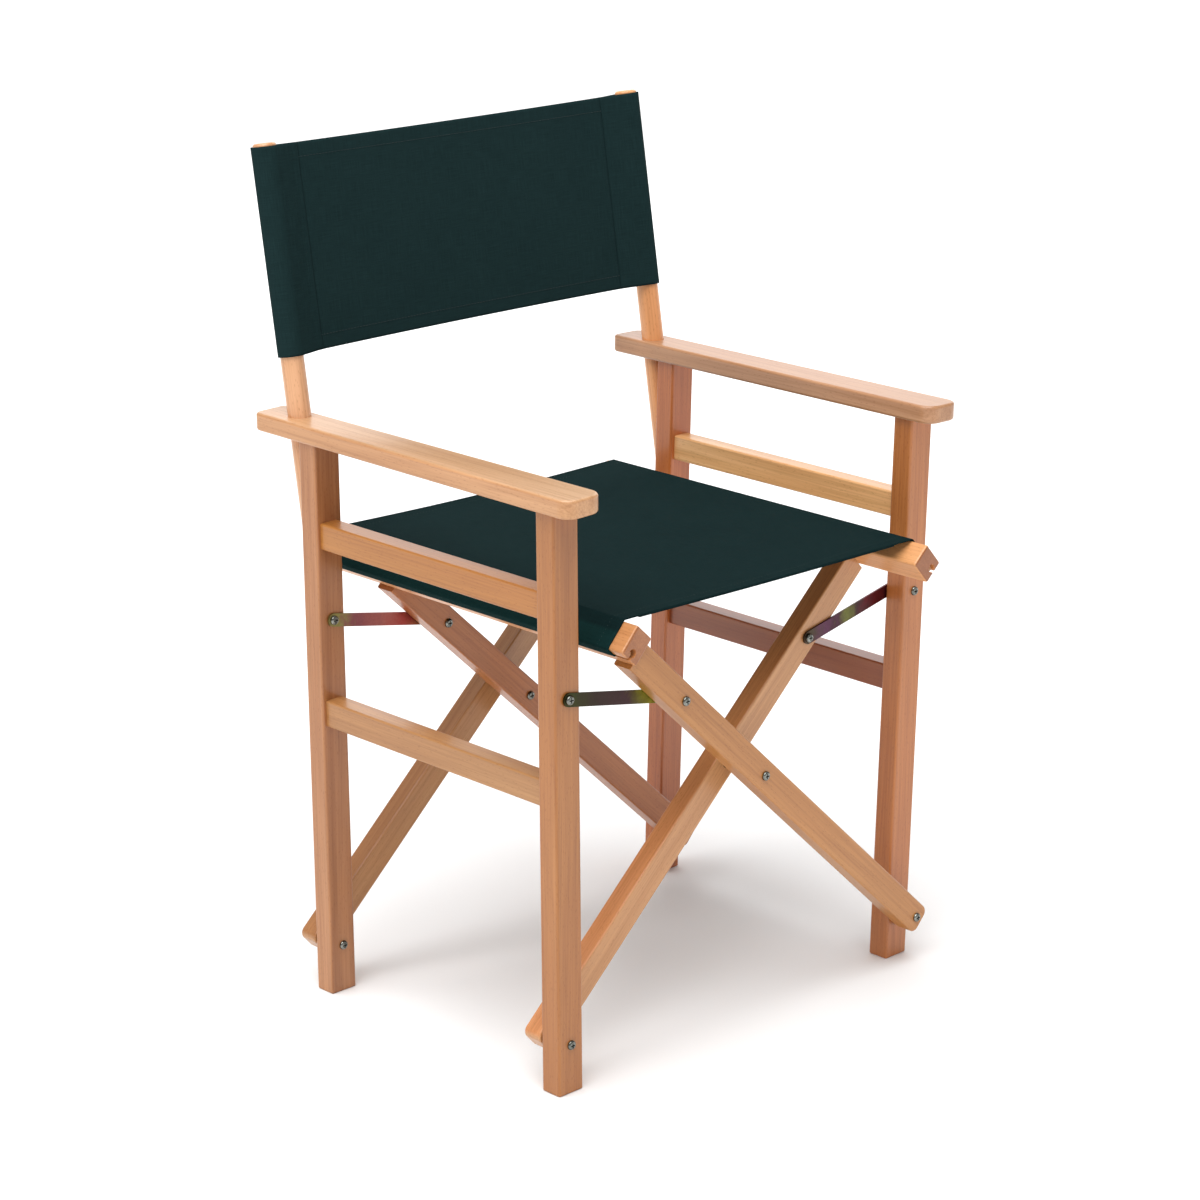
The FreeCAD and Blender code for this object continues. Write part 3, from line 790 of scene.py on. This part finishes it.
def sleeve_section():
    """A sleeve's line round its post from seam to seam, as (x, ahead)."""
    join = POST_X - SEAM_IN
    front = [(join + out, SLEEVE_GAP + off) for out, off in SLEEVE_FLARE]
    angles = [SLEEVE_WRAP * (1 - 2 * k / SLEEVE_WRAP_STEPS) for k in range(SLEEVE_WRAP_STEPS + 1)]
    wrap = [(POST_X + SLEEVE_RADIUS * math.cos(a), SLEEVE_RADIUS * math.sin(a)) for a in angles]
    rear = [(x, -ahead) for x, ahead in reversed(front)]
    return resample(rounded(front + wrap + rear, 0.006, 3), 0.0022)


def build_sleeve(side, levels, cloth, thread):
    """A sleeve on its post with its seam; gives the two pieces and the sleeve's cut length."""
    section = sleeve_section()
    run = running_length(section)
    sleeve = grid_object("back_sleeve_" + SIDE_NAME[side], len(section), len(levels),
                         lambda i, j: back_point(side * section[i].x, levels[j], section[i].y),
                         lambda i, j: (run[i], levels[j]), cloth)
    seam_x = POST_X - SEAM_IN + SLEEVE_STITCH_OUT
    seam = [back_point(side * seam_x, s, SLEEVE_GAP + 0.0002)
            for s in spread(BACK_LOW + 0.002, BACK_HIGH - 0.002, 0.01)]
    row = stitches("back_seam_" + SIDE_NAME[side], seam, lambda k: BACK_FORWARD, thread)
    for piece in (sleeve, row):
        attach(piece, SIDE_NAME[side] + "_frame")
    return sleeve, row, run[-1]


def build_back(cloth, thread):
    levels = back_levels()
    sleeves = [(side, *build_sleeve(side, levels, cloth, thread)) for side in (RIGHT, LEFT)]

    half = POST_X - SEAM_IN + PANEL_LAP
    columns = spread(-half, half, 0.012)

    def dish(x):
        return PANEL_DISH * (1 - (x / half) ** 2)

    panel = grid_object("back_panel", len(columns), len(levels),
                        lambda i, j: back_point(columns[i], levels[j], -dish(columns[i])),
                        lambda i, j: (columns[i], levels[j]), cloth, CLOTH * 1.6)
    extras = []
    for end, s in (("top", BACK_HIGH - BACK_HEM_STITCH_IN), ("bottom", BACK_LOW + BACK_HEM_STITCH_IN)):
        line = [back_point(x, s, -dish(x) + CLOTH * 0.7) for x in columns]
        extras.append(stitches("back_hem_" + end, line, lambda k: BACK_FORWARD, thread))
    for piece in [panel] + extras:
        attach(piece, "right_frame")
        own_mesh(piece)
    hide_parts("back_canvas")


# ---------------------------------------------------------------- studio
WORLD_STRENGTH = 0.46
FLOOR_REACH = 30.0


def build_floor():
    """Pale floor, wide enough to fill the camera's view."""
    g = Graph("floor")
    tone = g.noise(g.coordinates(), (1.5, 1.5, 1.5))
    g.set(Base_Color=g.ramp(tone, ((0.3, grey(0.90)), (0.7, grey(0.92)))),
          Roughness=0.9, Specular_IOR_Level=0.1)
    mesh = bpy.data.meshes.new("floor")
    far = FLOOR_REACH
    mesh.from_pydata([(-far, -far, 0), (far, -far, 0), (far, far, 0), (-far, far, 0)],
                     [], [(0, 1, 2, 3)])
    mesh.materials.append(g.material)
    add_object("floor", mesh)


def light(name, kind, place, aim, **settings):
    """A lamp that points from its place to the aim."""
    data = bpy.data.lights.new(name, kind)
    for key, value in settings.items():
        setattr(data, key, value)
    lamp = add_object(name, data)
    lamp.location = place
    lamp.rotation_euler = (Vector(aim) - Vector(place)).to_track_quat("-Z", "Y").to_euler()


def build_studio():
    world = bpy.data.worlds.new("studio")
    world.use_nodes = True
    background = world.node_tree.nodes["Background"]
    background.inputs["Color"].default_value = (1.0, 1.0, 1.0, 1.0)
    background.inputs["Strength"].default_value = WORLD_STRENGTH
    bpy.context.scene.world = world
    build_floor()

    # A wide overhead softbox that lights the floor evenly, and a large one behind the chair
    light("overhead", "SUN", (-0.75, -0.22, 2.2), (0, 0, 0), energy=3.2, angle=math.radians(60))
    light("back_wall", "AREA", (3.0, 3.0, 2.3), (0, 0, 0.9), energy=58, shape="RECTANGLE",
          size=5.5, size_y=2.6)
    bpy.context.scene.view_settings.view_transform = "Standard"


# ---------------------------------------------------------------- the chair
# Width of the painted light on the cloth at either end of the seat, round the rails, and its tone
WRAP_PAINTED_LIGHT_WIDTH = 0.036
WRAP_PAINTED_LIGHT_TONE = (1.15, 1.55, 1.45)

make_camera()
dress_wood()
dress_metal()
seat_line = seat_profile()
seat_painted_light = (WRAP_PAINTED_LIGHT_WIDTH, running_length(seat_line)[-1], WRAP_PAINTED_LIGHT_TONE)
# The seat's canvas is a darker copy of the back's canvas: painted shade
seat_cloth = canvas_cloth("seat_canvas", linear(17, 36, 37), painted_light_edge=seat_painted_light)
back_cloth = canvas_cloth("back_canvas", linear(28, 47, 48))
thread_material = stitch_thread("stitch_thread")
build_seat(seat_line, seat_cloth, thread_material)
build_back(back_cloth, thread_material)
build_studio()
